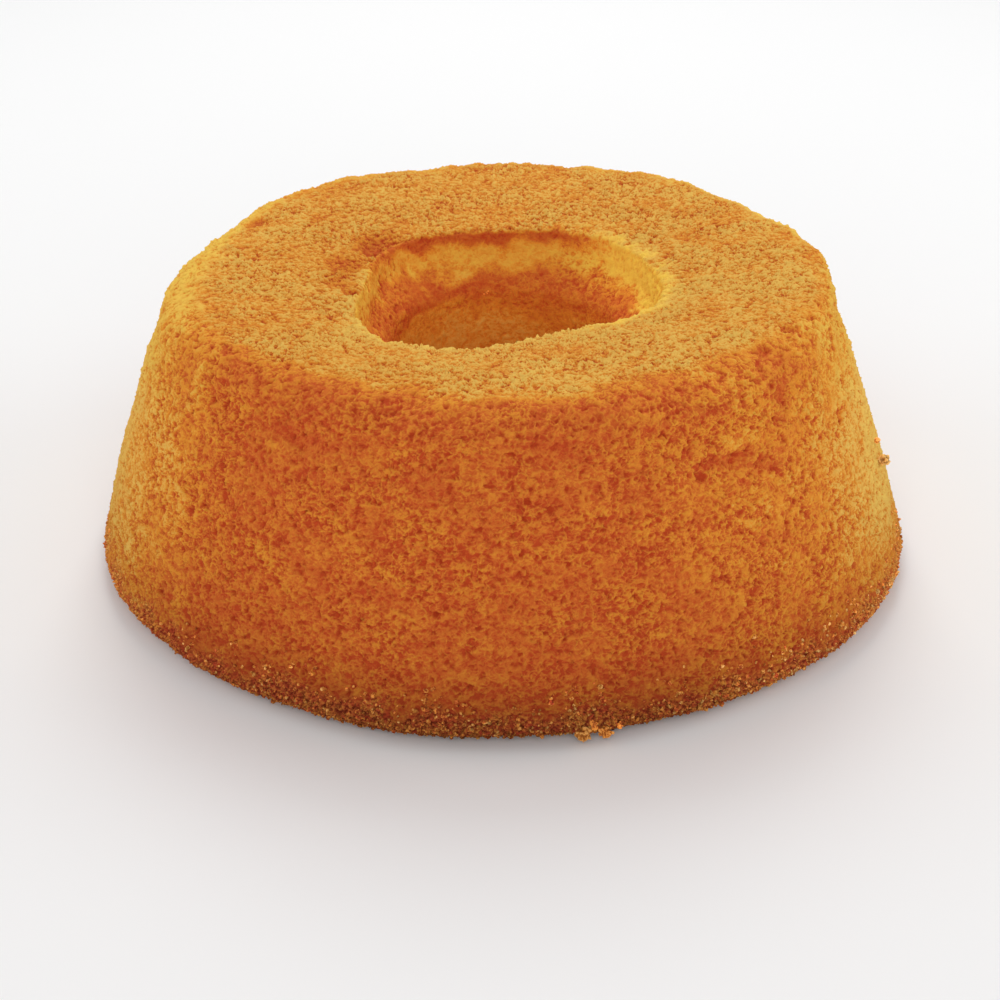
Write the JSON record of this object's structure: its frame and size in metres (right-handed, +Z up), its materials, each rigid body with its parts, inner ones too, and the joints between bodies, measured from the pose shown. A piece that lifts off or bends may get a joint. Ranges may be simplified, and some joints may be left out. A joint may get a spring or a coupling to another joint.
{
  "type": "angel food cake",
  "caption": "Whole angel food cake from a tube pan: a tall golden ring of sponge with sloping sides, a flat browned top and a flared hole right through its middle.",
  "frame": {"origin": "middle of the bounding box, on the surface the cake stands on", "axes": "+Z up, -Y towards the front of the cake, +X to its right seen from the front"},
  "size_m": [0.2126, 0.2076, 0.0756],
  "materials": {
    "golden_crust": null
  },
  "bodies": {
    "root": {"cake": "golden_crust"}
  },
  "joints": []
}
